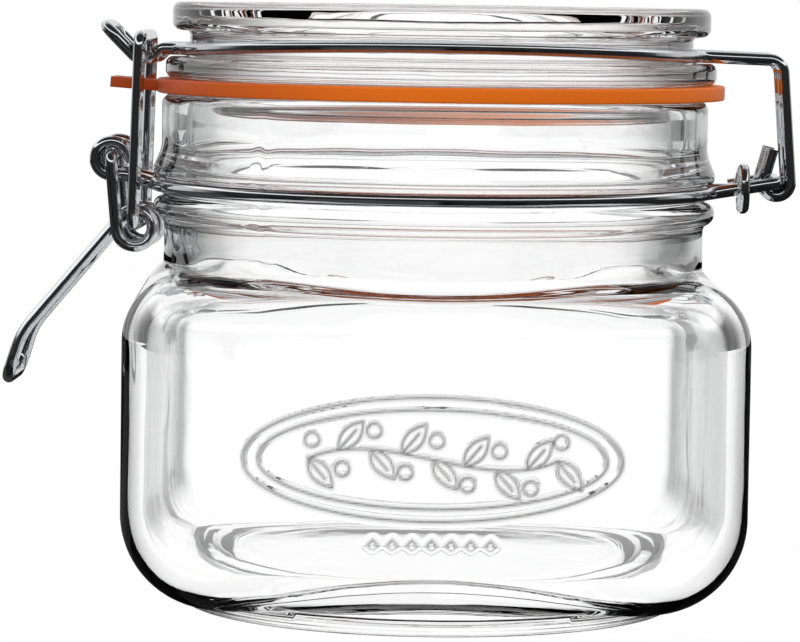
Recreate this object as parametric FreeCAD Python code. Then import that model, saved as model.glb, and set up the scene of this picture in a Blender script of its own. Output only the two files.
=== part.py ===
"""Square clip-top storage jar of half a litre, empty, with its wire clamp closed.

Millimetres, +Z up. The origin is the centre of the foot on the surface the jar stands on.
The hinge of the lid is on the +X side and the clamp on the -X side.
"""

import FreeCAD, Part
import math
import os

V = FreeCAD.Vector
UP = V(0, 0, 1)
ACROSS = V(0, 1, 0)

# --- glass jar ---
body_width = 98.3
body_top = 55.8
body_bottom = 3.0
corner_radius = 18.0
shoulder_radius = 10.8
heel_radius = 15.0
wall = 3.6
floor_thickness = 4.6
foot_radius = body_width / 2 - 8.75
foot_wall = 4.2
foot_edge = 1.1
punt_rise = 1.4

# --- neck and rim, all turned round the jar's axis ---
neck_radius = 43.9
neck_wall = 4.0
lower_bead_z = body_top + 8.7
lower_bead_radius = 1.8
groove_high_z = body_top + 13.5
upper_bead_radius = neck_radius + 1.8
upper_bead_height = 2.3
flare_height = 2.4
rim_radius = neck_radius + 0.5
rim_top = body_top + 27.0
rim_rounding = 1.7

# --- lid, turned round an axis a little towards the hinge ---
lid_shift = 0.9
gasket_gap = 0.1
gasket_thickness = 2.3
lid_disc_radius = neck_radius + 0.9
lid_disc_height = 3.5
waist_radius = neck_radius - 3.0
waist_height = 4.2
lid_top_radius = neck_radius - 0.2
lid_top_height = 4.6
recess_radius = neck_radius - 9.9
recess_depth = 2.6
recess_slope = 3.0
plug_clearance = 1.5
plug_depth = 3.5
plug_taper = 1.0
plug_wall = 3.4
ceiling_rise = 0.4
lid_edge_rounding = 1.3

# --- gasket ---
gasket_radius = neck_radius + 2.2
gasket_seat_gap = 0.1
gasket_plug_gap = 0.3
tab_length = 7.4
tab_half_width = 4.9
tab_thickness = 1.7
tab_tilt = 4.0

# --- wires; with the lid they sit turned a little round the neck, seen from above ---
closure_turn = -3.0
wire_radius = 1.0
ring_gap = 0.2
climbing_bend_share = 0.985
lid_ring_bow = 1.4
hinge_x = neck_radius + 11.5
hinge_z = body_top + 14.1
hinge_gap = 0.15
neck_ring_z = body_top + 12.2
leg_bend = 2.6
small_bend = wire_radius + 0.6

# half distances between the near and the far strand of each wire, on the clamp side
layer_gap = 0.3
inner_layer = 6.0
lever_layer = inner_layer + 2 * wire_radius + layer_gap
link_layer = lever_layer + 2 * wire_radius + layer_gap

# the same on the hinge side
hook_layer = 6.0
bar_layer = hook_layer + 2 * wire_radius + layer_gap

# clamp: the lever turns in the eyelets, the link turns in the lever's loops
pivot_x = -neck_radius - 8.2
pivot_z = body_top + 16.8
pivot_drop = 0.5
eyelet_radius = 2 * wire_radius + 0.66
eyelet_end_angle = 30.0
eyelet_foot_length = 2.2
stub_inner_y = 4.4
loop_gap = 0.4
loop_radius = 2 * wire_radius + 0.85
loop_x = -neck_radius - loop_gap - wire_radius - loop_radius
loop_z = body_top + 5.15
link_foot_x = loop_x - 0.05
link_foot_z = loop_z + 0.55
link_head_x = -neck_radius - 3.4
link_head_z = body_top + 36.15
link_bend = 2.0
handle_slope = 230.0
handle_bend_x = -neck_radius - 22.4
handle_bend_radius = 11.0
handle_bend_layer = 7.6
handle_tip_slope = 252.5
handle_tip_length = 7.9
handle_tip_layer = 9.0
handle_tip_bend = 3.2

# tongue of the lid wire: level legs, a dip under the link's head, then up to the tip
dip_start_x = -neck_radius - 0.3
dip_low_x = -neck_radius - 1.8
dip_high_x = -neck_radius - 4.4
dip_depth = 1.5
tongue_tip_x = -neck_radius - 9.4
tongue_tip_z = body_top + 37.7
tongue_bend = wire_radius + 0.2
tongue_tip_bend = 2.4

# hinge side of the lid wire: leg down to a hook under the hinge bar
lid_corner_z = body_top + 33.8
lid_corner_bend = 2.3
hook_lean = -85.5
hook_turn = 200.0
tail_length = 5.0

# hinge side of the neck wire: hinge bar, one end wrapped round a leg, the other lapped on the far leg
bar_bend = wire_radius + 0.3
coil_x = neck_radius + 6.0
coil_radius = 2 * wire_radius + 1.05
coil_turn = 250.0
lap_x = neck_radius + 4.4
lap_gap = 0.3


# ---------------------------------------------------------------- bent wire

def corner(x, y, z, bend):
    """A point where two straight runs would meet, and the radius of the bend there."""
    return V(x, y, z), bend


def mirrored(corners):
    """The same corners on the other side of the jar's middle plane."""
    return [corner(p.x, -p.y, p.z, bend) for p, bend in corners]


def arc_corners(centre, radius, start, end, count, place):
    """Corners whose bends join into one arc about a centre.

    start and end are the directions of travel in degrees; place turns (u, v, part of the way)
    into a point.
    """
    step = (end - start) / count
    side = math.copysign(1, step)
    reach = radius / math.cos(math.radians(step / 2))
    corners = []
    for i in range(count):
        angle = math.radians(start + (i + 0.5) * step - side * 90)
        u = centre[0] + reach * math.cos(angle)
        v = centre[1] + reach * math.sin(angle)
        corners.append((place(u, v, i / (count - 1)), radius))
    return corners


def tangent_heading(point, centre, radius, side):
    """Direction of travel in degrees from a point onto a circle; side +1 turns left, -1 right."""
    u = centre[0] - point[0]
    v = centre[1] - point[1]
    return math.degrees(math.atan2(v, u) - side * math.asin(radius / math.hypot(u, v)))


def step_along(point, heading, length):
    """The (u, v) point a length further along a direction in degrees."""
    angle = math.radians(heading)
    return point[0] + length * math.cos(angle), point[1] + length * math.sin(angle)


def in_plane_y(start_y, end_y=None):
    """Places (x, z) points at one y, or moving evenly from one y to another."""
    end_y = start_y if end_y is None else end_y
    return lambda u, v, part: V(u, start_y + (end_y - start_y) * part, v)


def in_plane_x(x):
    return lambda u, v, part: V(x, u, v)


def bowed_plane_z(z, bow):
    """Places (x, y) points at z, and higher by bow half way along."""
    return lambda u, v, part: V(u, v, z + bow * math.sin(math.pi * part))


def wire_runs(corners, closed):
    """Straight runs and tangent arcs along the corners: (start, end) or (start, axis, centre, angle)."""
    count = len(corners)
    bends = []
    for i, (point, bend) in enumerate(corners):
        if not closed and i in (0, count - 1):
            bends.append((point, point, None))
            continue
        into = (point - corners[i - 1][0]).normalize()
        out = (corners[(i + 1) % count][0] - point).normalize()
        turn = into.getAngle(out)
        reach = bend * math.tan(turn / 2)
        axis = into.cross(out).normalize()
        start = point - into * reach
        centre = start + axis.cross(into) * bend
        bends.append((start, point + out * reach, (axis, centre, math.degrees(turn))))
    runs = []
    for i, (start, end, arc) in enumerate(bends):
        if arc:
            runs.append((start, *arc))
        follower = bends[(i + 1) % count]
        if (closed or i < count - 1) and (follower[0] - end).Length > 1e-6:
            runs.append((end, follower[0]))
    return runs


def bent_wire(corners, closed=False):
    """A round wire along the corners, as one closed solid of cylinders and torus pieces."""
    runs = wire_runs(corners, closed)
    first = runs[0]
    heading = first[1] - first[0] if len(first) == 2 else first[1].cross(first[0] - first[2])
    profile = Part.makeCircle(wire_radius, first[0], heading)
    start_face = Part.Face(Part.Wire(profile.copy()))
    faces = []
    for run in runs:
        if len(run) == 2:
            faces.append(profile.extrude(run[1] - run[0]))
            profile.translate(run[1] - run[0])
        else:
            _, axis, centre, angle = run
            faces.append(profile.revolve(centre, axis, angle))
            profile.rotate(centre, axis, angle)
    if not closed:
        faces += [start_face, Part.Face(Part.Wire(profile))]
    skin = Part.makeCompound(faces)
    skin.sewShape()
    solid = Part.makeSolid(skin.Shells[0])
    return solid if solid.Volume > 0 else solid.reversed()


# ---------------------------------------------------------------- turned and square glass

def turned(outline, axis_x):
    """A solid of revolution from (radius, z) points round a vertical axis at x = axis_x."""
    points = [V(axis_x + r, 0, z) for r, z in outline]
    face = Part.Face(Part.makePolygon(points + points[:1]))
    return face.revolve(V(axis_x, 0, 0), UP, 360)


def rounded_rings(solid, bend, wanted):
    """Rounds the circular edges that wanted(radius, z) picks."""
    edges = []
    for edge in solid.Edges:
        if isinstance(edge.Curve, Part.Circle) and edge.isClosed():
            if wanted(edge.Curve.Radius, edge.Curve.Center.z):
                edges.append(edge)
    return solid.makeFillet(bend, edges)


def near(a, b):
    return abs(a - b) < 0.01


def rounded_block(width, corner_bend, low, high, low_bend, high_bend):
    """An upright square block with rounded corners, rounded at its bottom and its top."""
    half = width / 2
    block = Part.makeBox(width, width, high - low, V(-half, -half, low))
    upright = [e for e in block.Edges if near(e.BoundBox.ZLength, high - low)]
    block = block.makeFillet(corner_bend, upright)
    bottom = [e for e in block.Edges if near(e.BoundBox.ZMax, low)]
    block = block.makeFillet(low_bend, bottom)
    top = [e for e in block.Edges if near(e.BoundBox.ZMin, high)]
    return block.makeFillet(high_bend, top)


def jar_glass():
    """The blown jar: square body, round neck with two beads and a rim, open at the top."""
    body = rounded_block(body_width, corner_radius, body_bottom, body_top, heel_radius, shoulder_radius)

    bead_top = groove_high_z + upper_bead_height
    neck = turned(
        [
            (0, body_bottom + heel_radius),
            (neck_radius, body_bottom + heel_radius),
            (neck_radius, groove_high_z),
            (upper_bead_radius, groove_high_z),
            (upper_bead_radius, bead_top),
            (rim_radius, bead_top + flare_height),
            (rim_radius, rim_top),
            (0, rim_top),
        ],
        0,
    )
    neck = rounded_rings(neck, rim_rounding, lambda r, z: near(z, rim_top))
    neck = rounded_rings(neck, upper_bead_height / 3, lambda r, z: near(r, upper_bead_radius))
    bead = Part.makeTorus(neck_radius, lower_bead_radius, V(0, 0, lower_bead_z))

    foot = turned(
        [(0, 0), (foot_radius, 0), (foot_radius, body_bottom + 2), (0, body_bottom + 2)],
        0,
    )
    foot = rounded_rings(foot, foot_edge, lambda r, z: near(z, 0))
    glass = body.fuse([neck, bead, foot])

    cavity = rounded_block(
        body_width - 2 * wall,
        corner_radius - wall,
        body_bottom + floor_thickness,
        body_top - wall,
        heel_radius - wall,
        shoulder_radius - wall,
    )
    mouth_radius = neck_radius - neck_wall
    mouth_low = body_top - shoulder_radius
    mouth = Part.makeCylinder(mouth_radius, rim_top - mouth_low, V(0, 0, mouth_low))
    glass = glass.cut([cavity, mouth])
    glass = rounded_rings(glass, rim_rounding, lambda r, z: near(z, rim_top) and near(r, mouth_radius))

    punt_radius = foot_radius - foot_wall
    punt = turned(
        [(0, -1), (punt_radius, -1), (punt_radius, body_bottom - punt_rise), (0, body_bottom)],
        0,
    )
    glass = glass.cut(punt)
    return glass.removeSplitter().Solids[0]


def lid_heights():
    """Underside of the lower disc, its top, underside of the top disc, and the very top."""
    seat = rim_top + gasket_gap + gasket_thickness + gasket_seat_gap
    disc_top = seat + lid_disc_height
    waist_top = disc_top + waist_height
    return seat, disc_top, waist_top, waist_top + lid_top_height


def plug_radius():
    return neck_radius - neck_wall - plug_clearance


def lid_glass():
    """The pressed lid: plug inside the mouth, seat on the gasket, waist for the wire, dished top."""
    seat, disc_top, waist_top, top = lid_heights()
    plug = plug_radius()
    plug_low = rim_top - plug_depth
    inside = plug - plug_wall
    lid = turned(
        [
            (0, seat + ceiling_rise),
            (inside - 1, seat + ceiling_rise),
            (inside, rim_top),
            (inside, plug_low),
            (plug - plug_taper, plug_low),
            (plug, rim_top),
            (plug, seat),
            (lid_disc_radius, seat),
            (lid_disc_radius, disc_top),
            (waist_radius, disc_top),
            (waist_radius, waist_top),
            (lid_top_radius, waist_top),
            (lid_top_radius, top),
            (recess_radius, top),
            (recess_radius - recess_slope, top - recess_depth),
            (0, top - recess_depth),
        ],
        lid_shift,
    )
    rims = (lid_disc_radius, lid_top_radius)
    lid = rounded_rings(lid, lid_edge_rounding, lambda r, z: any(near(r, rim) for rim in rims))
    return rounded_rings(lid, plug_wall / 3, lambda r, z: near(z, plug_low))


def gasket():
    """The flat rubber ring between rim and lid, with a pull tab that sticks out at the clamp."""
    low = rim_top + gasket_gap
    inner = plug_radius() + gasket_plug_gap
    axis = V(lid_shift, 0, low)
    ring = Part.makeCylinder(gasket_radius, gasket_thickness, axis)
    hole = Part.makeCylinder(inner, gasket_thickness, axis)
    root_x = lid_shift - gasket_radius + tab_thickness
    tab = Part.makeBox(
        tab_length + tab_thickness,
        2 * tab_half_width,
        tab_thickness,
        V(root_x - tab_length - tab_thickness, -tab_half_width, low),
    )
    tab.rotate(V(root_x, 0, low), ACROSS, tab_tilt)
    return ring.cut(hole).fuse(tab.cut(hole)).removeSplitter().Solids[0]


# ---------------------------------------------------------------- wires of the closure

def ring_exit(ring_x, ring_radius, ring_z, layer, side):
    """Where the near strand of a wire leaves its ring: angle round the ring, and the corner there.

    side is +1 at the hinge and -1 at the clamp.
    """
    angle = math.asin((layer + leg_bend) / (ring_radius + leg_bend))
    run = (ring_radius * math.sin(angle) - layer) / math.cos(angle)
    meet_x = ring_x + side * (ring_radius * math.cos(angle) + run * math.sin(angle))
    return math.degrees(angle), corner(meet_x, -layer, ring_z, leg_bend)


def near_half_ring(ring_x, ring_radius, ring_z, clamp_layer, hinge_layer, bow):
    """Corners of the near half of a ring, from the clamp side to the hinge side.

    bow is how much higher the ring is in its middle than where its legs leave it.
    """
    clamp_angle, clamp_exit = ring_exit(ring_x, ring_radius, ring_z, clamp_layer, -1)
    hinge_angle, hinge_exit = ring_exit(ring_x, ring_radius, ring_z, hinge_layer, 1)
    start = clamp_angle - 90
    end = 90 - hinge_angle
    arc = arc_corners((ring_x, 0), ring_radius, start, end, 6, bowed_plane_z(ring_z, bow))
    arc = [(point, climbing_bend_share * bend) for point, bend in arc]
    return [clamp_exit] + arc + [hinge_exit]


def lid_wire():
    """One wire: hook, leg, half the ring, tongue, the other half, leg and hook."""
    ring_z = lid_heights()[1] + wire_radius + ring_gap
    ring_radius = waist_radius + wire_radius + ring_gap
    half_ring = near_half_ring(
        lid_shift, ring_radius, ring_z, inner_layer, hook_layer, lid_ring_bow
    )
    tongue = [
        corner(tongue_tip_x, -inner_layer, tongue_tip_z, tongue_tip_bend),
        corner(dip_high_x, -inner_layer, ring_z - dip_depth, tongue_bend),
        corner(dip_low_x, -inner_layer, ring_z - dip_depth, tongue_bend),
        corner(dip_start_x, -inner_layer, ring_z, tongue_bend),
    ]

    hinge = (hinge_x, hinge_z)
    hook_radius = 2 * wire_radius + hinge_gap
    hook_end = hook_lean - hook_turn
    hook = arc_corners(hinge, hook_radius, hook_lean, hook_end, 3, in_plane_y(-hook_layer))
    hook_top = step_along(hinge, hook_lean + 90, hook_radius)
    leg_length = (lid_corner_z - hook_top[1]) / math.sin(math.radians(-hook_lean))
    corner_x = step_along(hook_top, hook_lean, -leg_length)[0]
    tail_x, tail_z = step_along(
        step_along(hinge, hook_end + 90, hook_radius), hook_end, tail_length
    )
    leg = [corner(corner_x, -hook_layer, lid_corner_z, lid_corner_bend)]
    tail = [corner(tail_x, -hook_layer, tail_z, 0)]
    near_side = tongue + half_ring + leg + hook + tail
    return bent_wire(mirrored(near_side)[::-1] + near_side)


def eyelet():
    """Corners of the near eyelet, from the bar between the eyelets to the foot of the loop."""
    centre = (pivot_x, pivot_z - pivot_drop)
    start = eyelet_end_angle + 90
    ring = arc_corners(centre, eyelet_radius, start, 360, 3, in_plane_y(-inner_layer))
    bar_x, bar_z = step_along(
        step_along(centre, eyelet_end_angle, eyelet_radius), start, -small_bend
    )
    bar = corner(bar_x, -inner_layer, bar_z, small_bend)
    foot_z = centre[1] - eyelet_radius
    foot = corner(pivot_x + eyelet_foot_length, -inner_layer, foot_z, small_bend)
    return [bar] + ring + [foot]


def neck_wire():
    """One wire round the neck: eyelets for the lever at the clamp, bar for the lid at the hinge.

    One end crosses from the far leg and is wrapped round the near one. The other end comes back
    from the hinge bar and is lapped beside the far leg.
    """
    ring_radius = neck_radius + wire_radius + ring_gap
    half_ring = near_half_ring(0, ring_radius, neck_ring_z, inner_layer, bar_layer, 0)
    near_side = eyelet() + half_ring

    leg_slope = (hinge_z - neck_ring_z) / (hinge_x - half_ring[-1][0].x)
    lap_y = bar_layer + 2 * wire_radius + lap_gap
    lap_z = hinge_z - leg_slope * (hinge_x - lap_x)
    near_tail = [
        corner(hinge_x, -bar_layer, hinge_z, bar_bend),
        corner(hinge_x, lap_y, hinge_z, bar_bend),
        corner(lap_x, lap_y, lap_z, 0),
    ]

    crossing = corner(coil_x, bar_layer, neck_ring_z, small_bend)
    centre = (-bar_layer, hinge_z - leg_slope * (hinge_x - coil_x))
    rise = tangent_heading((bar_layer, neck_ring_z), centre, coil_radius, 1)
    fall = rise + coil_turn
    coil = arc_corners(centre, coil_radius, rise, fall, 3, in_plane_x(coil_x))
    end_y, end_z = step_along(centre, fall - 90, coil_radius)
    far_tail = [crossing] + coil + [corner(coil_x, end_y, end_z, 0)]
    return bent_wire((near_side + near_tail)[::-1] + mirrored(near_side) + far_tail)


def link():
    """The closed loop that pulls the tongue down: a long rounded rectangle."""
    ends = [(link_foot_x, link_foot_z), (link_head_x, link_head_z)]
    near_side = [corner(x, -link_layer, z, link_bend) for x, z in ends]
    return bent_wire(near_side + mirrored(near_side)[::-1], closed=True)


def lever():
    """The handle: stub in each eyelet, leg, full loop for the link's foot, arms to a closed tip."""
    loop_centre = (loop_x, loop_z)
    drop = tangent_heading((pivot_x, pivot_z), loop_centre, loop_radius, 1)
    layers = in_plane_y(-lever_layer, -inner_layer)
    loop = arc_corners(loop_centre, loop_radius, drop, handle_slope, 4, layers)
    loop = [(point, climbing_bend_share * bend) for point, bend in loop]
    leave = step_along(loop_centre, handle_slope - 90, loop_radius)
    run = (handle_bend_x - leave[0]) / math.cos(math.radians(handle_slope))
    bend_x, bend_z = step_along(leave, handle_slope, run)
    tip_x, tip_z = step_along((bend_x, bend_z), handle_tip_slope, handle_tip_length)
    near_side = [
        corner(pivot_x, -stub_inner_y, pivot_z, 0),
        corner(pivot_x, -lever_layer, pivot_z, small_bend),
        *loop,
        corner(bend_x, -handle_bend_layer, bend_z, handle_bend_radius),
        corner(tip_x, -handle_tip_layer, tip_z, handle_tip_bend),
    ]
    return bent_wire(near_side + mirrored(near_side)[::-1])


parts = {
    "jar_glass": jar_glass,
    "lid_glass": lid_glass,
    "gasket": gasket,
    "lid_wire": lid_wire,
    "neck_wire": neck_wire,
    "link": link,
    "lever": lever,
}

os.makedirs("parts", exist_ok=True)
for node, make in parts.items():
    shape = make()
    if node != "jar_glass":
        shape.rotate(V(0, 0, 0), UP, closure_turn)
    shape.exportStep(f"parts/{node}.step")
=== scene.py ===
import bpy
import math
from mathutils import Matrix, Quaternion, Vector, noise


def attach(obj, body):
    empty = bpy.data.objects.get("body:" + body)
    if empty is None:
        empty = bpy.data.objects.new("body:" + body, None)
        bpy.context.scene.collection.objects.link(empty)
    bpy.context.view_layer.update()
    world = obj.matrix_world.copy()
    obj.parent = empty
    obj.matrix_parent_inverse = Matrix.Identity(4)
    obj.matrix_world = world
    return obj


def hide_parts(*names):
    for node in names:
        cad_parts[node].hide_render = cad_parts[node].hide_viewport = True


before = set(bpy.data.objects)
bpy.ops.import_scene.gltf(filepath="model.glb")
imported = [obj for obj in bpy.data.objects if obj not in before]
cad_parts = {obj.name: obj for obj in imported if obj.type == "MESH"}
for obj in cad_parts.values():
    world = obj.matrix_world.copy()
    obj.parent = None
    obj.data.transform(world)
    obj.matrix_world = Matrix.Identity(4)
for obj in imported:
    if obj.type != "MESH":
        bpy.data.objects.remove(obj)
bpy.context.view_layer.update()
mm = 0.001


def addNode(tree, kind, inputs=None, **settings):
    node = tree.nodes.new(kind)
    for key, value in settings.items():
        setattr(node, key, value)
    for key, value in (inputs or {}).items():
        if isinstance(value, bpy.types.NodeSocket):
            tree.links.new(value, node.inputs[key])
        else:
            node.inputs[key].default_value = value
    return node


def shaderMath(tree, operation, *values):
    return addNode(tree, "ShaderNodeMath", dict(enumerate(values)), operation=operation).outputs[0]


def product(tree, a, b):
    return shaderMath(tree, "MULTIPLY", a, b)


def larger(tree, a, b):
    return shaderMath(tree, "MAXIMUM", a, b)


def allBut(tree, share):
    return shaderMath(tree, "SUBTRACT", 1.0, share)


def rampValue(tree, value, low, high, toLow=0.0, toHigh=1.0):
    inputs = {"Value": value, "From Min": low, "From Max": high, "To Min": toLow, "To Max": toHigh}
    node = addNode(tree, "ShaderNodeMapRange", inputs, interpolation_type="SMOOTHSTEP")
    return node.outputs["Result"]


def mixColours(tree, share, first, second):
    return addNode(tree, "ShaderNodeMix", {0: share, 6: first, 7: second}, data_type="RGBA").outputs[2]


def splitAxes(tree, vector):
    return addNode(tree, "ShaderNodeSeparateXYZ", {0: vector}).outputs


def placeAxes(tree, source):
    return splitAxes(tree, addNode(tree, "ShaderNodeTexCoord").outputs[source])


def newGroup(name, kind, inputs, outputs):
    tree = bpy.data.node_groups.new(name, kind)
    for label, socketType, value in inputs:
        socket = tree.interface.new_socket(name=label, in_out="INPUT", socket_type=socketType)
        if value is not None:
            socket.default_value = value
    for label, socketType in outputs:
        tree.interface.new_socket(name=label, in_out="OUTPUT", socket_type=socketType)
    return tree, tree.nodes.new("NodeGroupInput"), tree.nodes.new("NodeGroupOutput")


def useGroup(tree, group, inputs):
    kind = tree.bl_idname.replace("Tree", "Group")
    return addNode(tree, kind, inputs, node_tree=group).outputs[0]


def newMaterial(name, settings):
    material = bpy.data.materials.new(name)
    material.use_nodes = True
    tree = material.node_tree
    shader = next(n for n in tree.nodes if n.type == "BSDF_PRINCIPLED")
    for key, value in settings.items():
        shader.inputs[key].default_value = value
    return material, tree, shader


def addPiece(name, mesh, slot, body, *nodes):
    piece = bpy.data.objects.new(name, mesh)
    bpy.context.scene.collection.objects.link(piece)
    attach(piece, body)
    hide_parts(*nodes)
    print(name, len(mesh.polygons), "faces")


def newShapeGroup(name, numbers):
    # a Geometry Nodes group that takes a geometry, a material and the named numbers
    inputs = [("Geometry", "NodeSocketGeometry", None), ("Material", "NodeSocketMaterial", None)]
    for label, value in numbers.items():
        kind = "NodeSocketInt" if isinstance(value, int) else "NodeSocketFloat"
        inputs.append((label, kind, value))
    return newGroup(name, "GeometryNodeTree", inputs, [("Geometry", "NodeSocketGeometry")])


def shapeTools(tree):
    # short forms for one tree, each giving the first output of the node it adds
    def made(kind, inputs=None, **settings):
        return addNode(tree, kind, inputs, **settings).outputs[0]

    def times(a, b):
        return product(tree, a, b)

    def vector(x=0.0, y=0.0, z=0.0):
        return made("ShaderNodeCombineXYZ", {0: x, 1: y, 2: z})

    def placed(shape, **inputs):
        return made("GeometryNodeTransform", dict(inputs, Geometry=shape))

    def joined(shapes):
        join = addNode(tree, "GeometryNodeJoinGeometry")
        for shape in shapes:
            tree.links.new(shape, join.inputs[0])
        return join.outputs[0]

    return made, times, vector, placed, joined


def finishShape(tree, given, result, shape):
    whole = addNode(tree, "GeometryNodeRealizeInstances", {"Geometry": shape}).outputs[0]
    inputs = {"Geometry": whole, "Material": given.outputs["Material"]}
    finished = addNode(tree, "GeometryNodeSetMaterial", inputs).outputs[0]
    tree.links.new(finished, result.inputs["Geometry"])


def shapedMesh(name, start, group, values):
    holder = bpy.data.objects.new(name, start)
    bpy.context.scene.collection.objects.link(holder)
    modifier = holder.modifiers.new(name, "NODES")
    modifier.node_group = group
    for item in group.interface.items_tree:
        if item.in_out == "INPUT" and item.name in values:
            modifier[item.identifier] = values[item.name]
    made = bpy.data.meshes.new_from_object(holder.evaluated_get(bpy.context.evaluated_depsgraph_get()))
    holder.modifiers.remove(modifier)
    bpy.data.objects.remove(holder)
    made.shade_smooth()
    return made


def ringMesh(name, rings):
    # quads between rings of equal length, with a middle point closing each end
    count = len(rings[0])
    points = [point for ring in rings for point in ring]
    faces = []
    for r in range(len(rings) - 1):
        a = r * count
        b = a + count
        for i in range(count):
            j = (i + 1) % count
            faces.append((a + i, a + j, b + j, b + i))
    for base, flipped in ((0, True), ((len(rings) - 1) * count, False)):
        middle = len(points)
        points.append(sum((Vector(points[base + i]) for i in range(count)), Vector()) / count)
        for i in range(count):
            j = (i + 1) % count
            faces.append((base + j, base + i, middle) if flipped else (base + i, base + j, middle))
    mesh = bpy.data.meshes.new(name)
    mesh.from_pydata([tuple(point) for point in points], [], faces)
    mesh.shade_smooth()
    mesh.update()
    return mesh


def arcPoints(centreR, centreZ, radius, start, end, count):
    # points on an arc in a section, angles in degrees
    found = []
    for i in range(count + 1):
        angle = math.radians(start + (end - start) * i / count)
        found.append((centreR + radius * math.cos(angle), centreZ + radius * math.sin(angle)))
    return found


studio = {
    "eyeDistance": 0.680, "eyeHeight": 0.100, "eyeTurn": -1.5, "lens": 187.65, "clipStart": 0.01,
    "aimX": -0.0052, "aimZ": 0.0460, "roll": 0.85,
    "floorRadius": 0.9, "floorSteps": 64, "floorDrop": 0.0001, "floorColour": (0.9, 0.9, 0.9, 1),
    "floorRoughness": 0.9, "floorGlow": 1.12, "floorGlowShare": 0.88,
    "throughSideStart": 0.30, "throughSideEnd": 0.75, "throughSide": 0.12,
    "deepStart": 4.5, "deepEnd": 6.5, "steepStart": 0.25, "steepEnd": 0.50,
    "glossFront": 0.03, "glossBack": 0.85, "backStart": 0.1, "backEnd": 0.6,
    "stripLow": 0.42, "stripHigh": 0.60, "stripFade": 0.04, "strip": 1.6,
}


def makeCamera():
    data = bpy.data.cameras.new("camera")
    data.lens = studio["lens"]
    data.clip_start = studio["clipStart"]
    camera = bpy.data.objects.new("camera", data)
    bpy.context.scene.collection.objects.link(camera)
    turn = math.radians(studio["eyeTurn"])
    reach = studio["eyeDistance"]
    camera.location = (reach * math.sin(turn), -reach * math.cos(turn), studio["eyeHeight"])
    aim = Vector((studio["aimX"], 0, studio["aimZ"])) - camera.location
    camera.rotation_mode = "QUATERNION"
    lean = Quaternion((0, 0, 1), math.radians(studio["roll"]))
    camera.rotation_quaternion = aim.to_track_quat("-Z", "Y") @ lean
    bpy.context.scene.camera = camera


def insideGlass(tree, path):
    return shaderMath(tree, "GREATER_THAN", path["Transmission Depth"], 0.5)


def makeWorld():
    # white to the eye and to diffuse light, darker at the sides through glass,
    # and dark in front with one bright strip in reflections
    world = bpy.data.worlds.new("studio")
    bpy.context.scene.world = world
    world.use_nodes = True
    tree = world.node_tree
    tree.nodes.clear()
    path = addNode(tree, "ShaderNodeLightPath").outputs
    axes = placeAxes(tree, "Generated")
    aside = shaderMath(tree, "ABSOLUTE", axes["X"])
    clear = rampValue(tree, aside, studio["throughSideStart"], studio["throughSideEnd"],
                      1.0, studio["throughSide"])
    deep = rampValue(tree, path["Transmission Depth"], studio["deepStart"], studio["deepEnd"])
    slope = shaderMath(tree, "ABSOLUTE", axes["Z"])
    steep = rampValue(tree, slope, studio["steepStart"], studio["steepEnd"])
    through = larger(tree, clear, larger(tree, deep, steep))
    behind = rampValue(tree, axes["Y"], studio["backStart"], studio["backEnd"],
                       studio["glossFront"], studio["glossBack"])
    fade = studio["stripFade"]
    rising = rampValue(tree, axes["Z"], studio["stripLow"], studio["stripLow"] + fade)
    ending = rampValue(tree, axes["Z"], studio["stripHigh"], studio["stripHigh"] + fade, 1.0, 0.0)
    strip = product(tree, product(tree, rising, ending), studio["strip"])
    gloss = larger(tree, behind, strip)
    glossInGlass = product(tree, path["Is Glossy Ray"], insideGlass(tree, path))
    isThrough = larger(tree, path["Is Transmission Ray"], glossInGlass)
    isGloss = product(tree, path["Is Glossy Ray"], allBut(tree, isThrough))
    rest = allBut(tree, larger(tree, isThrough, isGloss))
    seen = shaderMath(tree, "ADD", product(tree, isThrough, through), product(tree, isGloss, gloss))
    total = shaderMath(tree, "ADD", seen, rest)
    background = addNode(tree, "ShaderNodeBackground", {"Color": (1, 1, 1, 1), "Strength": total})
    output = addNode(tree, "ShaderNodeOutputWorld")
    tree.links.new(background.outputs[0], output.inputs["Surface"])


def makeFloor():
    # glows white to the eye and through glass, keeps the shadow, and is dark in bright metal
    turns = [i * math.tau / studio["floorSteps"] for i in range(studio["floorSteps"])]
    rings = []
    for radius in (studio["floorRadius"], studio["floorRadius"] / 2):
        rings.append([(radius * math.cos(a), radius * math.sin(a), -studio["floorDrop"]) for a in turns])
    mesh = ringMesh("floorMesh", rings)
    floor = bpy.data.objects.new("floor", mesh)
    bpy.context.scene.collection.objects.link(floor)
    look = {"Base Color": studio["floorColour"], "Roughness": studio["floorRoughness"]}
    material, tree, shader = newMaterial("paleFloor", look)
    path = addNode(tree, "ShaderNodeLightPath").outputs
    seen = larger(tree, path["Is Camera Ray"], path["Is Transmission Ray"])
    seen = larger(tree, seen, insideGlass(tree, path))
    shine = product(tree, path["Is Glossy Ray"], allBut(tree, seen))
    strength = product(tree, seen, studio["floorGlow"])
    glow = addNode(tree, "ShaderNodeEmission", {"Color": (1, 1, 1, 1), "Strength": strength})
    share = product(tree, shaderMath(tree, "ADD", seen, shine), studio["floorGlowShare"])
    mix = addNode(tree, "ShaderNodeMixShader", {0: share, 1: shader.outputs[0], 2: glow.outputs[0]})
    output = next(n for n in tree.nodes if n.type == "OUTPUT_MATERIAL")
    tree.links.new(mix.outputs[0], output.inputs["Surface"])
    mesh.materials.append(material)


makeCamera()
makeWorld()
makeFloor()
print("studio ready")


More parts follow.
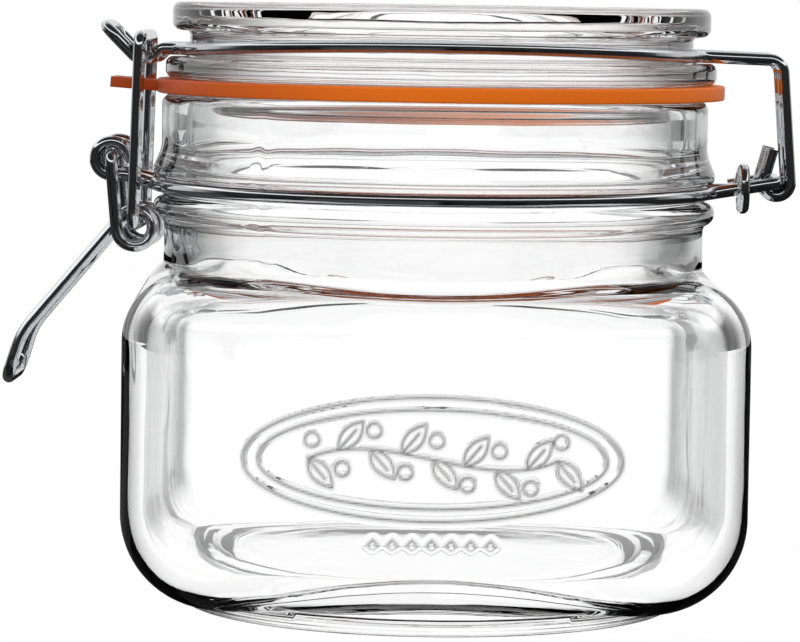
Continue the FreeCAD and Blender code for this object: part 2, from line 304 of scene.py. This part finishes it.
def ripples():
    # a normal of soft uneven ripples, from a stretched noise
    inputs = [("Across", "NodeSocketFloat", 60.0), ("Up", "NodeSocketFloat", 30.0)]
    inputs.append(("Depth", "NodeSocketFloat", 0.0001))
    tree, given, result = newGroup("ripples", "ShaderNodeTree", inputs, [("Normal", "NodeSocketVector")])
    value = given.outputs
    place = addNode(tree, "ShaderNodeTexCoord")
    scale = addNode(tree, "ShaderNodeCombineXYZ", {0: value["Across"], 1: value["Across"], 2: value["Up"]})
    stretch = {"Vector": place.outputs["Object"], "Scale": scale.outputs[0]}
    spread = addNode(tree, "ShaderNodeMapping", stretch)
    waves = addNode(tree, "ShaderNodeTexNoise", {"Vector": spread.outputs[0], "Scale": 1.0, "Detail": 2.0})
    bump = addNode(tree, "ShaderNodeBump", {"Height": waves.outputs[0], "Distance": value["Depth"]})
    tree.links.new(bump.outputs[0], result.inputs["Normal"])
    return tree


upright = {"full": 0.25, "none": 0.65}


def paintedEdgeShade():
    # clear from the front, with painted grey shade where an upright surface turns away and painted dark
    # shade along raised lines
    inputs = [(name, "NodeSocketColor", None) for name in ("Clear", "Edge", "PaintedLineShade")]
    inputs += [("Start", "NodeSocketFloat", 0.36), ("Full", "NodeSocketFloat", 0.72)]
    inputs += [("Facing", "NodeSocketFloat", 0.0), ("Line", "NodeSocketFloat", 0.0)]
    tree, given, result = newGroup("paintedEdgeShade", "ShaderNodeTree", inputs, [("Color", "NodeSocketColor")])
    value = given.outputs
    shape = addNode(tree, "ShaderNodeNewGeometry")
    level = shaderMath(tree, "ABSOLUTE", splitAxes(tree, shape.outputs["Normal"])["Z"])
    standing = rampValue(tree, level, upright["full"], upright["none"], 1.0, 0.0)
    turned = rampValue(tree, value["Facing"], value["Start"], value["Full"])
    sides = mixColours(tree, product(tree, turned, standing), value["Clear"], value["Edge"])
    lineShaded = mixColours(tree, value["Line"], sides, value["PaintedLineShade"])
    tree.links.new(lineShaded, result.inputs["Color"])
    return tree


ripplesGroup = ripples()
paintedEdgeShadeGroup = paintedEdgeShade()


def clearGlass(name, look):
    # glass whose colour carries painted shade at turned-away edges and along the raised lines
    material, tree, shader = newMaterial(name, {"Transmission Weight": 1.0, "Roughness": 0.0, "IOR": 1.5})
    facing = addNode(tree, "ShaderNodeLayerWeight", {"Blend": 0.5})
    # reads the painted shade stored along the raised lines
    raisedWithShade = addNode(tree, "ShaderNodeAttribute", attribute_name="relief")
    clearWithShade = dict(look["clearWithShade"], Facing=facing.outputs["Facing"], Line=raisedWithShade.outputs["Fac"])
    tree.links.new(useGroup(tree, paintedEdgeShadeGroup, clearWithShade), shader.inputs["Base Color"])
    tree.links.new(useGroup(tree, ripplesGroup, look["ripples"]), shader.inputs["Normal"])
    return material, tree, shader


def paintedShadeAlongX(tree, look):
    # painted shade: a colour that is shaded towards -X and lit towards +X
    along = rampValue(tree, placeAxes(tree, "Object")["X"], look["shadedX"], look["litX"])
    return mixColours(tree, along, look["shadedColour"], look["litColour"])


def paintedRubberReflection(tree, shader, look):
    # a painted reflection of the orange rubber on the inner wall of the plug, where the rubber shows through
    # the glass, with painted shade towards -X
    axes = placeAxes(tree, "Object")
    flat = addNode(tree, "ShaderNodeCombineXYZ", {0: axes["X"], 1: axes["Y"]}).outputs[0]
    reach = addNode(tree, "ShaderNodeVectorMath", {0: flat}, operation="LENGTH").outputs["Value"]
    fade = look["fade"]
    inner = rampValue(tree, reach, look["radius"], look["radius"] + fade, 1.0, 0.0)
    low = rampValue(tree, axes["Z"], look["low"], look["low"] + fade)
    high = rampValue(tree, axes["Z"], look["high"] - fade, look["high"], 1.0, 0.0)
    share = product(tree, inner, product(tree, low, high))
    clear = shader.inputs["Base Color"].links[0].from_socket
    mixed = mixColours(tree, share, clear, paintedShadeAlongX(tree, look))
    tree.links.new(mixed, shader.inputs["Base Color"])


# the edge and line colours are painted shade that darkens the clear glass colour
jarLook = {
    "clearWithShade": {"Clear": (0.995, 0.998, 0.996, 1), "Edge": (0.22, 0.225, 0.225, 1),
             "PaintedLineShade": (0.012, 0.012, 0.012, 1), "Start": 0.32, "Full": 0.72},
    "ripples": {"Across": 70.0, "Up": 40.0, "Depth": 0.00012},
}
lidLook = {
    "clearWithShade": {"Clear": (0.99, 0.993, 0.99, 1), "Edge": (0.25, 0.255, 0.255, 1),
             "PaintedLineShade": (0.06, 0.06, 0.06, 1), "Start": 0.34, "Full": 0.70},
    "ripples": {"Across": 80.0, "Up": 120.0, "Depth": 0.00012},
}
# painted reflection of the orange rubber in the plug, with painted shade towards -X
rubberReflectionLook = {
    "radius": 0.0356, "low": 0.0788, "high": 0.0820, "fade": 0.0006, "shadedColour": (0.07, 0.010, 0.005, 1),
    "shadedX": -0.02, "litColour": (0.48, 0.075, 0.022, 1), "litX": 0.025,
}
wireLook = {
    "shader": {"Base Color": (0.55, 0.56, 0.58, 1), "Metallic": 1.0, "Roughness": 0.1},
    "ripples": {"Across": 500.0, "Up": 500.0, "Depth": 0.00002},
}
rubberLook = {
    "shader": {"Roughness": 0.45, "Specular IOR Level": 0.15},
    "ripples": {"Across": 900.0, "Up": 900.0, "Depth": 0.00003},
    # the two colours below are the painted shaded and lit sides of the rubber
    "shadedColour": (0.50, 0.07, 0.01, 1), "shadedX": -0.050, "litColour": (0.93, 0.185, 0.006, 1), "litX": -0.005,
}
jarGlass = clearGlass("clearGlass", jarLook)[0]
lidGlass, lidTree, lidShader = clearGlass("lidClearGlass", lidLook)
paintedRubberReflection(lidTree, lidShader, rubberReflectionLook)
wireMetal, wireTree, wireShader = newMaterial("brightWire", wireLook["shader"])
drawnWire = useGroup(wireTree, ripplesGroup, wireLook["ripples"])
wireTree.links.new(drawnWire, wireShader.inputs["Normal"])
rubber, rubberTree, rubberShader = newMaterial("orangeRubber", rubberLook["shader"])
# the rubber colour has painted shade towards -X and is lit towards +X
rubberTree.links.new(paintedShadeAlongX(rubberTree, rubberLook), rubberShader.inputs["Base Color"])
rubberGrain = useGroup(rubberTree, ripplesGroup, rubberLook["ripples"])
rubberTree.links.new(rubberGrain, rubberShader.inputs["Normal"])
print("materials ready")


jar = {
    "half": 49.15, "corner": 18.0, "leastCorner": 0.01, "top": 55.8, "bottom": 3.0, "wall": 3.6,
    "floor": 4.6, "shoulder": 10.8, "shoulderLead": 1.5, "heel": 15.0, "heelBlend": 1.2,
    "foot": 40.4, "footWall": 4.2, "footEdge": 1.1, "footTop": 2.2, "footBlend": 0.8, "footSink": 0.5,
    "punt": 1.4, "puntEdge": 0.6, "puntDraft": 0.02,
    "neck": 43.9, "neckWall": 4.0, "neckBend": 2.4, "belowBead": (60.5, 61.8), "aboveBead": (66.9, 68.2),
    "beadZ": 64.5, "beadRadius": 1.8, "beadSink": 0.1, "beadSpan": 80,
    "grooveTop": 69.3, "grooveLip": 0.3, "upperBead": 45.7, "beadHeight": 2.3, "beadEdge": 0.8,
    "flare": 2.4, "flareShare": 0.75, "flareLeft": 0.25, "flareEnd": 0.6,
    "rim": 44.4, "rimLow": 78.0, "rimTop": 82.8, "rimRound": 1.7,
    "mouthTop": 79.5, "mouthStep": 2.5, "mouthSteps": 9,
    "blend": 3.0, "innerBlend": 12.0, "innerBend": 7.0,
    "wave": 0.16, "waveAcross": 0.09, "waveUp": 0.035, "waveTop": 78.0, "waveReach": 0.1,
    "seamRise": 0.22, "seamWidth": 0.9, "seamTurn": 128,
    "frontHalf": 34.0, "fineStep": 0.34, "bandLow": 13.5, "bandHigh": 41.0,
    "cornerReach": 16, "cornerStep": 1.2, "flatStep": 2.4, "leastStep": 0.8,
    "puntSteps": 6, "footSteps": 4, "heelSteps": 18, "shoulderSteps": 18, "neckSteps": 7,
    "innerBendSteps": 5, "innerShoulderSteps": 12, "innerWallSteps": 12, "innerHeelSteps": 16,
    "innerFloorSteps": 8,
}


def jarAngles():
    # close together over the ornament, close at the corners, wider apart on the other flats
    half = jar["half"]
    count = round(2 * jar["frontHalf"] / jar["fineStep"])
    angles = [math.atan2(-half, -jar["frontHalf"] + jar["fineStep"] * i) for i in range(count + 1)]
    angle = angles[-1]
    end = angles[0] + math.tau
    while True:
        fromDiagonal = abs((math.degrees(angle) % 90) - 45)
        angle += math.radians(jar["cornerStep"] if fromDiagonal < jar["cornerReach"] else jar["flatStep"])
        if angle > end - math.radians(jar["leastStep"]):
            return angles
        angles.append(angle)


def squareRadius(angle, half, corner):
    # distance from the axis to a square with rounded corners
    c = abs(math.cos(angle))
    s = abs(math.sin(angle))
    if c < s:
        c, s = s, c
    flat = half / c
    if flat * s <= half - corner:
        return flat
    b = (half - corner) * (c + s)
    return b + math.sqrt(max(b * b - 2 * (half - corner) ** 2 + corner * corner, 0))


def smoothMax(a, b, width):
    h = max(width - abs(a - b), 0) / width
    return max(a, b) + h * h * width / 4


def quarter(count, first=1):
    # the turns of a quarter circle
    return [math.radians(90 * k / count) for k in range(first, count + 1)]


def square(inset, wall=0.0):
    # the outline of the body, drawn in by inset and, for the inside, by the wall
    half = jar["half"] - wall
    corner = jar["corner"] - wall
    return lambda a: squareRadius(a, half - inset, max(corner - inset, jar["leastCorner"]))


def seam(r):
    # a circle with two faint mould seams, on opposite diagonals
    def radiusAt(a):
        offset = (math.degrees(a) + jar["seamTurn"]) % 180
        offset = min(offset, 180 - offset)
        return r + jar["seamRise"] * math.exp(-(offset / jar["seamWidth"]) ** 2)
    return radiusAt


def footSection(puntRadius):
    # down from the recess in the base, round the foot and up its outside
    foot = jar["foot"]
    edge = jar["footEdge"]
    inner = jar["puntEdge"]
    points = [(puntRadius, jar["bottom"] - jar["punt"]), (puntRadius + jar["puntDraft"], inner)]
    points += arcPoints(puntRadius + inner, inner, inner, 180, 270, 4)
    return points + arcPoints(foot - edge, edge, edge, -90, 0, 6) + [(foot, jar["footTop"])]


def neckSection():
    # outside of the neck, upwards: lower bead, groove, upper bead, straight rim
    neck = jar["neck"]
    low = jar["grooveTop"]
    high = low + jar["beadHeight"]
    sink = jar["beadSink"]
    span = jar["beadSpan"]
    lip = jar["grooveLip"]
    edge = jar["beadEdge"]
    rim = jar["rim"]
    bead = arcPoints(neck - sink, jar["beadZ"], jar["beadRadius"] + sink, -span, span, 14)
    section = [(neck, z) for z in jar["belowBead"]] + [(max(r, neck), z) for r, z in bead]
    section += [(neck, z) for z in jar["aboveBead"]] + [(neck, low - lip), (neck + lip, low)]
    section += arcPoints(jar["upperBead"] - edge, low + edge, edge, -90, 0, 4)
    section += arcPoints(jar["upperBead"] - edge, high - edge, edge, 0, 45, 3)
    section += [(rim + jar["flareLeft"], high + jar["flare"] * jar["flareShare"])]
    return section + [(rim, high + jar["flare"] + jar["flareEnd"]), (rim, jar["rimLow"])]


def rimSection(mouth):
    # over the rim and down the inside of the neck
    bend = jar["rimRound"]
    section = arcPoints(jar["rim"] - bend, jar["rimTop"] - bend, bend, 0, 90, 8)
    section += arcPoints(mouth + bend, jar["rimTop"] - bend, bend, 90, 180, 8)
    return section + [(mouth, jar["mouthTop"] - jar["mouthStep"] * i) for i in range(jar["mouthSteps"])]


def jarMesh():
    # rings from the middle of the base up the outside, over the rim and down the inside to the floor
    angles = jarAngles()
    rings = []

    def ring(radiusAt, z, wave=0.0):
        points = []
        for a in angles:
            r = radiusAt(a)
            x = r * math.cos(a)
            y = r * math.sin(a)
            if wave:
                spot = Vector((x * jar["waveAcross"], y * jar["waveAcross"], z * jar["waveUp"]))
                stretch = 1 + wave * noise.noise(spot) / r
                x *= stretch
                y *= stretch
            points.append((x * mm, y * mm, z * mm))
        rings.append(points)

    bottom = jar["bottom"]
    foot = jar["foot"]
    puntRadius = foot - jar["footWall"]
    steps = jar["puntSteps"]
    for k in range(1, steps):
        ring(lambda a: puntRadius * k / steps, bottom - jar["punt"] * k / steps)
    for r, z in footSection(puntRadius):
        ring(lambda a: r, z)

    lowest = square(jar["heel"])

    def footToBody(a, share):
        if lowest(a) <= foot:
            return foot
        return smoothMax(foot, foot + (lowest(a) - foot) * share, jar["footBlend"])

    steps = jar["footSteps"]
    for k in range(steps + 1):
        t = k / steps
        ring(lambda a: footToBody(a, t), bottom - jar["footSink"] * (1 - t) ** 2)
    heel = jar["heel"]
    bandTurn = math.acos(1 - (jar["bandLow"] - bottom) / heel)
    steps = jar["heelSteps"]
    for k in range(1, steps + 1):
        turn = bandTurn * k / steps
        shape = square(heel * (1 - math.sin(turn)))
        ring(lambda a: smoothMax(shape(a), foot, jar["heelBlend"]), bottom + heel * (1 - math.cos(turn)))
    wallLow = bottom + heel
    bandCount = round((jar["bandHigh"] - jar["bandLow"]) / jar["fineStep"])
    for k in range(1, bandCount + 1):
        z = jar["bandLow"] + jar["fineStep"] * k
        drop = max(wallLow - z, 0)
        ring(square(heel - math.sqrt(heel ** 2 - drop ** 2)), z)

    shoulder = jar["shoulder"]
    wallHigh = jar["top"] - shoulder
    neck = jar["neck"]
    blend = jar["blend"]
    ring(square(0), wallHigh - jar["shoulderLead"])
    for turn in quarter(jar["shoulderSteps"], 0):
        shape = square(shoulder * (1 - math.cos(turn)))
        ring(lambda a: smoothMax(shape(a), neck, blend), wallHigh + shoulder * math.sin(turn))
    highest = square(shoulder)
    neckLine = seam(neck)
    for turn in quarter(jar["neckSteps"]):
        share = math.sin(turn)
        ring(lambda a: smoothMax(highest(a), neck, blend) * (1 - share) + neckLine(a) * share,
             jar["top"] + jar["neckBend"] * (1 - math.cos(turn)))
    for r, z in neckSection():
        ring(seam(r), z)

    wave = jar["wave"]
    mouth = neck - jar["neckWall"]
    for r, z in rimSection(mouth):
        inside = z < jar["waveTop"] and r < mouth + jar["waveReach"]
        ring(lambda a: r, z, wave if inside else 0)
    wall = jar["wall"]
    innerBlend = jar["innerBlend"]
    inShoulder = shoulder - wall
    inHeel = heel - wall
    ceiling = jar["top"] - wall
    floor = bottom + jar["floor"]
    inHighest = square(inShoulder, wall)
    for turn in quarter(jar["innerBendSteps"]):
        share = 1 - math.cos(turn)
        ring(lambda a: mouth + (smoothMax(inHighest(a), mouth, innerBlend) - mouth) * share,
             ceiling + jar["innerBend"] * (1 - math.sin(turn)), wave)
    steps = jar["innerShoulderSteps"]
    for k in range(1, steps + 1):
        turn = math.radians(90 - 90 * k / steps)
        shape = square(inShoulder * (1 - math.cos(turn)), wall)
        z = ceiling - inShoulder * (1 - math.sin(turn))
        ring(lambda a: smoothMax(shape(a), mouth, innerBlend), z, wave)
    inLow = floor + inHeel
    inHigh = ceiling - inShoulder
    steps = jar["innerWallSteps"]
    for k in range(1, steps + 1):
        ring(square(0, wall), inHigh + (inLow - inHigh) * k / steps, wave)
    for turn in quarter(jar["innerHeelSteps"]):
        ring(square(inHeel * (1 - math.cos(turn)), wall), inLow - inHeel * math.sin(turn), wave)
    inLowest = square(inHeel, wall)
    steps = jar["innerFloorSteps"]
    for k in range(1, steps):
        ring(lambda a: inLowest(a) * (1 - k / steps), floor)
    return ringMesh("jarGlassMesh", rings)


ornament = {
    "Oval Width": 0.0580, "Oval Height": 0.0190, "Band": 0.80, "Centre X": -0.0008, "Centre Z": 0.0288,
    "Face": 0.04915, "Line Width": 0.00078, "Rise": 0.00055, "Line Shade": 0.97,
    "Leaves": 9, "Leaf Length": 0.0058, "Stem Length": 0.038,
    "Row Count": 7, "Row Width": 0.018, "Row Z": 0.0155, "Row Size": 0.0009,
}
sprig = {
    "innerOval": 0.92, "ovalPoints": 128, "leafMiddle": 0.45, "leafBulge": 0.45, "leafPoints": 12,
    "veinEnd": 0.7, "leafTurn": 50, "stemHandle": 0.4, "stemSway": 0.28, "stemPoints": 48,
    "berrySize": 0.19, "berryAlong": 0.1, "berryAside": -0.5, "berryPoints": 20, "frontLimit": -0.0475,
}


def ornamentTree():
    # raises lines on the jar's front: a double oval, a sprig of leaves and berries, a row of diamonds, and
    # stores a painted dark shade along the lines for the glass colour
    tree, given, result = newShapeGroup("raisedOrnament", ornament)
    made, times, vector, placed, joined = shapeTools(tree)
    value = given.outputs
    origin = (0, 0, 0)

    def circle(points, radius):
        return made("GeometryNodeCurvePrimitiveCircle", {"Resolution": points, "Radius": radius})

    def straight(start, end):
        return made("GeometryNodeCurvePrimitiveLine", {"Start": start, "End": end})

    def lines(curve):
        return made("GeometryNodeCurveToMesh", {"Curve": curve})

    def spaced(curve, count):
        return made("GeometryNodeResampleCurve", {"Curve": curve, "Count": count})

    def onPoints(points, shape, **inputs):
        return made("GeometryNodeInstanceOnPoints", dict(inputs, Points=points, Instance=shape))

    def oval(across, up):
        size = vector(times(value["Oval Width"], across), times(value["Oval Height"], up), 1.0)
        return lines(placed(circle(sprig["ovalPoints"], 0.5), Scale=size))

    def leaf():
        # two bent sides and a vein, from the root along X
        length = value["Leaf Length"]
        sides = []
        for bulge in (sprig["leafBulge"], -sprig["leafBulge"]):
            middle = vector(times(length, sprig["leafMiddle"]), times(length, bulge))
            bend = {"Resolution": sprig["leafPoints"], "Start": origin, "Middle": middle}
            sides.append(made("GeometryNodeCurveQuadraticBezier", dict(bend, End=vector(length))))
        sides.append(straight(origin, vector(times(length, sprig["veinEnd"]))))
        return lines(joined(sides))

    reach = times(value["Stem Length"], 0.5)
    handle = sprig["stemHandle"]
    sway = sprig["stemSway"]
    stem = made("GeometryNodeCurvePrimitiveBezierSegment", {
        "Resolution": sprig["stemPoints"], "Start": vector(times(reach, -1.0)), "End": vector(reach),
        "Start Handle": vector(times(reach, -handle), times(reach, sway)),
        "End Handle": vector(times(reach, handle), times(reach, -sway))}, mode="POSITION")
    knots = spaced(stem, value["Leaves"])
    odd = shaderMath(tree, "MODULO", made("GeometryNodeInputIndex"), 2.0)
    side = shaderMath(tree, "SUBTRACT", times(odd, 2.0), 1.0)
    leafTurn = vector(0.0, 0.0, times(side, math.radians(sprig["leafTurn"])))
    leaves = onPoints(knots, leaf(), Rotation=leafTurn)
    berry = lines(circle(sprig["berryPoints"], times(value["Leaf Length"], sprig["berrySize"])))
    berryAside = times(side, times(value["Leaf Length"], sprig["berryAside"]))
    berryShift = vector(times(value["Leaf Length"], sprig["berryAlong"]), berryAside)
    berries = onPoints(made("GeometryNodeSetPosition", {"Geometry": knots, "Offset": berryShift}), berry)
    rowReach = times(value["Row Width"], 0.5)
    rowPoints = spaced(straight(vector(times(rowReach, -1.0)), vector(rowReach)), value["Row Count"])
    rowDrop = vector(0.0, shaderMath(tree, "SUBTRACT", value["Row Z"], value["Centre Z"]))
    row = placed(onPoints(rowPoints, lines(circle(4, value["Row Size"]))), Translation=rowDrop)
    ovals = [oval(1.0, 1.0), oval(sprig["innerOval"], value["Band"])]
    drawn = joined(ovals + [lines(stem), leaves, berries, row])
    flat = made("GeometryNodeRealizeInstances", {"Geometry": drawn})
    spot = vector(value["Centre X"], times(value["Face"], -1.0), value["Centre Z"])
    drawing = placed(flat, Translation=spot, Rotation=(math.radians(90), 0, 0))
    near = addNode(tree, "GeometryNodeProximity", {"Geometry": drawing}, target_element="EDGES")
    share = rampValue(tree, near.outputs["Distance"], 0.0, value["Line Width"], 1.0, 0.0)
    here = splitAxes(tree, made("GeometryNodeInputPosition"))
    front = shaderMath(tree, "LESS_THAN", here["Y"], sprig["frontLimit"])
    offset = vector(0.0, times(times(share, value["Rise"]), -1.0))
    # painted shade: a dark share along the raised lines, stored as an attribute for the glass colour
    shade = times(times(times(share, share), value["Line Shade"]), front)
    shadeMark = {"Geometry": value["Geometry"], "Name": "relief", "Value": shade}
    lineShaded = made("GeometryNodeStoreNamedAttribute", shadeMark, data_type="FLOAT")
    raisedWithShade = made("GeometryNodeSetPosition", {"Geometry": lineShaded, "Selection": front, "Offset": offset})
    finishShape(tree, given, result, raisedWithShade)
    return tree


jarShape = shapedMesh("jarGlassShape", jarMesh(), ornamentTree(), dict(ornament, Material=jarGlass))
addPiece("jarGlass", jarShape, "clear_glass", "jar", "jar_glass")


lid = {
    "x": 0.899, "y": -0.047, "steps": 256, "middleRings": (8, 16, 24), "edge": 1.3,
    "seat": 85.3, "seatStep": 0.4, "disc": 44.8, "discTop": 88.8, "waist": 40.9, "waistTop": 93.0,
    "hollow": 0.8, "topRadius": 43.7, "top": 97.6, "recess": 34.0, "recessDepth": 2.6, "recessSlope": 3.0,
    "plug": 38.4, "plugTop": 82.8, "plugLow": 79.3, "plugTaper": 0.6, "plugWall": 3.4,
    "plugInnerRound": 1, "plugOuterRound": 0.35, "ceilingRise": 0.4,
    "ceilingBend": ((3, 0), (1.6, 0.2), (0.7, 0.9), (0.3, 2.0)),
    "dishEdge": ((2.5, 0), (0.8, 0.1), (0, 0.3)), "dishFoot": ((0.6, 0.35), (-0.4, 0.03)),
}


def lidSection():
    # from the middle of the underside, round the plug, the two discs and into the dished top
    seat = lid["seat"]
    top = lid["top"]
    plug = lid["plug"]
    edge = lid["edge"]
    hollow = lid["hollow"]
    step = lid["seatStep"]
    waist = lid["waist"] + hollow
    inside = plug - lid["plugWall"]
    ceiling = seat + lid["ceilingRise"]
    innerRound = lid["plugInnerRound"]
    outerRound = lid["plugOuterRound"]
    low = lid["plugLow"] + innerRound
    section = [(r, ceiling) for r in lid["middleRings"]]
    section += [(inside - inward, ceiling - down) for inward, down in lid["ceilingBend"]]
    section += [(inside, lid["plugTop"]), (inside, low)]
    section += arcPoints(inside + innerRound, low, innerRound, 180, 270, 5)
    tip = plug - lid["plugTaper"] - outerRound
    section += arcPoints(tip, lid["plugLow"] + outerRound, outerRound, -90, -10, 4)
    section += [(plug, lid["plugTop"]), (plug, seat - step), (plug + step, seat)]
    section += arcPoints(lid["disc"] - edge, seat + edge, edge, -90, 0, 7)
    section += arcPoints(lid["disc"] - edge, lid["discTop"] - edge, edge, 0, 90, 7)
    section += arcPoints(waist, lid["discTop"] + hollow, hollow, -90, -180, 5)
    section += arcPoints(waist, lid["waistTop"] - hollow, hollow, 180, 90, 5)
    section += arcPoints(lid["topRadius"] - edge, lid["waistTop"] + edge, edge, -90, 0, 7)
    section += arcPoints(lid["topRadius"] - edge, top - edge, edge, 0, 90, 7)
    foot = lid["recess"] - lid["recessSlope"]
    dish = top - lid["recessDepth"]
    section += [(lid["recess"] + outward, top - down) for outward, down in lid["dishEdge"]]
    section += [(foot + outward, dish + up) for outward, up in lid["dishFoot"]]
    return section + [(r, dish) for r in reversed(lid["middleRings"])]


def turnedMesh(name, section, x, y, steps):
    turns = [i * math.tau / steps for i in range(steps)]
    rings = []
    for r, z in section:
        rings.append([((x + r * math.cos(a)) * mm, (y + r * math.sin(a)) * mm, z * mm) for a in turns])
    return ringMesh(name, rings)


lidShape = turnedMesh("lidGlassMesh", lidSection(), lid["x"], lid["y"], lid["steps"])
lidShape.materials.append(lidGlass)
addPiece("lidGlass", lidShape, "lid_clear_glass", "lid", "lid_glass")


gasket = {
    "Centre X": 0.000899, "Centre Y": -0.000047, "Low": 0.0829, "Thickness": 0.0023, "Outer": 0.0461,
    "Inner": 0.0387, "Rounding": 0.0003, "Corner Steps": 4, "Ring Steps": 256, "Turn": -3.0,
    "Tab Length": 0.0074, "Tab Overlap": 0.0030, "Tab Width": 0.0098, "Tab Thickness": 0.0017,
    "Tab Tilt": 4.0,
}


def gasketTree():
    # a rounded flat section swept round a circle, with a tilted tab on the clamp side
    tree, given, result = newShapeGroup("flatRing", gasket)
    made, times, vector, placed, joined = shapeTools(tree)
    value = given.outputs
    degree = math.radians(1.0)

    def total(a, b):
        return shaderMath(tree, "ADD", a, b)

    def less(a, b):
        return shaderMath(tree, "SUBTRACT", a, b)

    def roundedBox(width, height):
        box = made("GeometryNodeCurvePrimitiveQuadrilateral", {"Width": width, "Height": height})
        corners = {"Curve": box, "Radius": value["Rounding"], "Count": value["Corner Steps"]}
        return made("GeometryNodeFilletCurve", corners, mode="POLY")

    section = roundedBox(less(value["Outer"], value["Inner"]), value["Thickness"])
    middle = times(total(value["Outer"], value["Inner"]), 0.5)
    path = made("GeometryNodeCurvePrimitiveCircle", {"Resolution": value["Ring Steps"], "Radius": middle})
    band = made("GeometryNodeCurveToMesh", {"Curve": path, "Profile Curve": section})
    tabSection = roundedBox(value["Tab Width"], value["Tab Thickness"])
    tabEnd = vector(times(total(value["Tab Length"], value["Tab Overlap"]), -1.0))
    tabPath = made("GeometryNodeCurvePrimitiveLine", {"Start": (0, 0, 0), "End": tabEnd})
    tab = made("GeometryNodeCurveToMesh", {"Curve": tabPath, "Profile Curve": tabSection, "Fill Caps": True})
    rootX = less(value["Tab Overlap"], value["Outer"])
    rootZ = times(less(value["Tab Thickness"], value["Thickness"]), 0.5)
    tilt = vector(0.0, times(value["Tab Tilt"], degree))
    tab = placed(tab, Translation=vector(rootX, 0.0, rootZ), Rotation=tilt)
    height = total(value["Low"], times(value["Thickness"], 0.5))
    place = vector(value["Centre X"], value["Centre Y"], height)
    turn = vector(0.0, 0.0, times(value["Turn"], degree))
    finishShape(tree, given, result, placed(joined([band, tab]), Translation=place, Rotation=turn))
    return tree


gasketStart = bpy.data.meshes.new("gasketStart")
gasketShape = shapedMesh("gasketShape", gasketStart, gasketTree(), dict(gasket, Material=rubber))
addPiece("gasketRing", gasketShape, "orange_rubber", "lid", "gasket")

for node in ("lid_wire", "neck_wire", "link", "lever"):
    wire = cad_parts[node].data
    wire.materials.clear()
    wire.materials.append(wireMetal)
print("wires ready")

bpy.context.scene.view_settings.view_transform = "Standard"
